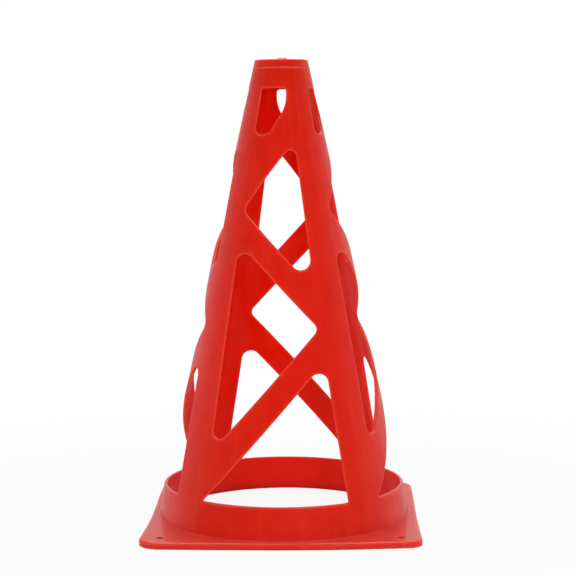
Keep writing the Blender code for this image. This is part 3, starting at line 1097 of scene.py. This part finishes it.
# %% Mix the three skins
# edges= sets both the worn rub and the painted highlight line along the edges
mix_plastic(outside_skin, 0.42, 0.48, grain=1.0, ripple=0.7, streaks=0.5, scuffing=0.35, edges=0.45)
mix_plastic(inside_skin, 0.50, 0.20, grain=0.4, ripple=0.6, streaks=0.3, scuffing=0.0, edges=0.5)
mix_plastic(ground_skin, 0.62, 0.18, grain=1.0, ripple=0.8, streaks=0.2, scuffing=1.0, edges=0.5)

# %% The moulding itself
cone = bpy.data.objects.new("moulding", cone_mesh)
scene.collection.objects.link(cone)
print(f"{cone.name}: {mm(cone.dimensions.x)} wide, {mm(cone.dimensions.z)} high")

# %% [markdown]
# ## Floor and light
# The cone was photographed as small goods usually are, on a sweep of white paper, with
# soft light from both sides of the camera and from above. The paper has to look white
# and still take the cone's shadow. More light on it would also wash out the cone, so the
# floor's material asks what kind of ray is looking at it. Camera rays see it as white,
# a little less so close to the foot, where the shadow lies. Mirrored rays see it at a
# lower level, and light that bounces finds an ordinary pale paper.

# %% Floor
FLOOR_SIZE = 12.0
FLOOR_COLOUR = (0.85, 0.85, 0.85, 1)
NEAR_GLOW = 0.88
FADE_START = 0.10
FADE_END = 0.50
MIRRORED_LEVEL = 0.5

bpy.ops.mesh.primitive_plane_add(size=FLOOR_SIZE)
floor = bpy.context.object
floor.name = "floor"
paper = bpy.data.materials.new("white_paper")
paper.use_nodes = True
tree = paper.node_tree
tree.nodes.clear()
plain = step_in(tree, "ShaderNodeBsdfDiffuse", {"Color": FLOOR_COLOUR})
rays = step_in(tree, "ShaderNodeLightPath").outputs
mirrored = maths(tree, "MULTIPLY", rays["Is Glossy Ray"], MIRRORED_LEVEL)
level = maths(tree, "MAXIMUM", rays["Is Camera Ray"], mirrored)
glow = step_in(tree, "ShaderNodeEmission", {"Color": (1, 1, 1, 1), "Strength": level})
away = step_in(tree, "ShaderNodeVectorMath", {0: object_place(tree)}, operation="LENGTH").outputs["Value"]
fade = spread(tree, away, FADE_START, FADE_END, NEAR_GLOW, 1.0)
glowing_rays = maths(tree, "MAXIMUM", rays["Is Camera Ray"], rays["Is Glossy Ray"])
share = maths(tree, "MULTIPLY", glowing_rays, fade)
mixed = step_in(tree, "ShaderNodeMixShader", {0: share, 1: plain.outputs[0], 2: glow.outputs[0]})
step_in(tree, "ShaderNodeOutputMaterial", {0: mixed.outputs[0]})
floor.data.materials.append(paper)
print(f"{floor.name}: {FLOOR_SIZE:.0f} m of paper, white from {FADE_END} m off")

# %% [markdown]
# The world is the room. For the camera it is white, like the paper. For all other rays
# it is dim behind the camera and grows lighter toward the paper behind the cone, where a
# last step stands for the paper itself. This is what draws the pale rims down both sides
# of the cone. A picture of a real studio would do it as well, but a few numbers are
# easier to understand and to change.

# %% World
ROOM_LEVEL = 0.08
SIDE_LEVEL = 0.57
PAPER_LEVEL = 0.72
ROOM_ENDS = (-0.4, 1.0)  # how much a ray points away from the camera, 1 at most
PAPER_STEP = (0.88, 0.97)

world = bpy.data.worlds.new("studio")
world.use_nodes = True
scene.world = world
tree = world.node_tree
tree.nodes.clear()
direction = step_in(tree, "ShaderNodeTexCoord").outputs["Generated"]
depth_way = axes_of(tree, direction)["Y"]
level = spread(tree, depth_way, *ROOM_ENDS, ROOM_LEVEL, SIDE_LEVEL, "LINEAR")
level = spread(tree, depth_way, *PAPER_STEP, level, PAPER_LEVEL)
rays = step_in(tree, "ShaderNodeLightPath").outputs
seen = step_in(tree, "ShaderNodeBackground", {"Color": (1, 1, 1, 1), "Strength": 1.0})
lit = step_in(tree, "ShaderNodeBackground", {"Color": (1, 1, 1, 1), "Strength": level})
mixed = step_in(tree, "ShaderNodeMixShader", {
    0: rays["Is Camera Ray"], 1: lit.outputs[0], 2: seen.outputs[0],
})
step_in(tree, "ShaderNodeOutputWorld", {0: mixed.outputs[0]})
scene.view_settings.view_transform = "Standard"
print(f"{world.name}: {len(tree.nodes)} nodes")

# %% [markdown]
# The lamps are three square softboxes, aimed at the middle of the cone. The front of the
# real cone shows no bright patch, so the two beside the camera light it and aren't
# mirrored in it. The one above is mirrored, and gives the flange and the disc their
# sheen. The right one is a little stronger, as in the photograph, and together they light
# the cone so that a colour renders about as it is written.

# %% Softboxes
SOFTBOX_SIDE = 1.1
LIT_POINT = Vector((0, 0, 0.15))

for name, power, stand, in_gloss in (
    ("softbox_left", 12.4, Vector((-1.2, -1.1, 0.7)), False),
    ("softbox_right", 15.0, Vector((1.2, -1.1, 0.7)), False),
    ("softbox_above", 9.0, Vector((0, 0.3, 1.3)), True),
):
    lamp = bpy.data.lights.new(name, "AREA")
    lamp.shape = "SQUARE"
    lamp.size = SOFTBOX_SIDE
    lamp.energy = power
    softbox = bpy.data.objects.new(name, lamp)
    softbox.location = stand
    softbox.rotation_euler = (LIT_POINT - stand).to_track_quat("-Z", "Y").to_euler()
    softbox.visible_glossy = in_gloss
    scene.collection.objects.link(softbox)
    print(f"{name}: {power} W, {(LIT_POINT - stand).length:.2f} m away")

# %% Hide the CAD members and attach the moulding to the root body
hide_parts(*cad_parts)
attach(cone, "root")
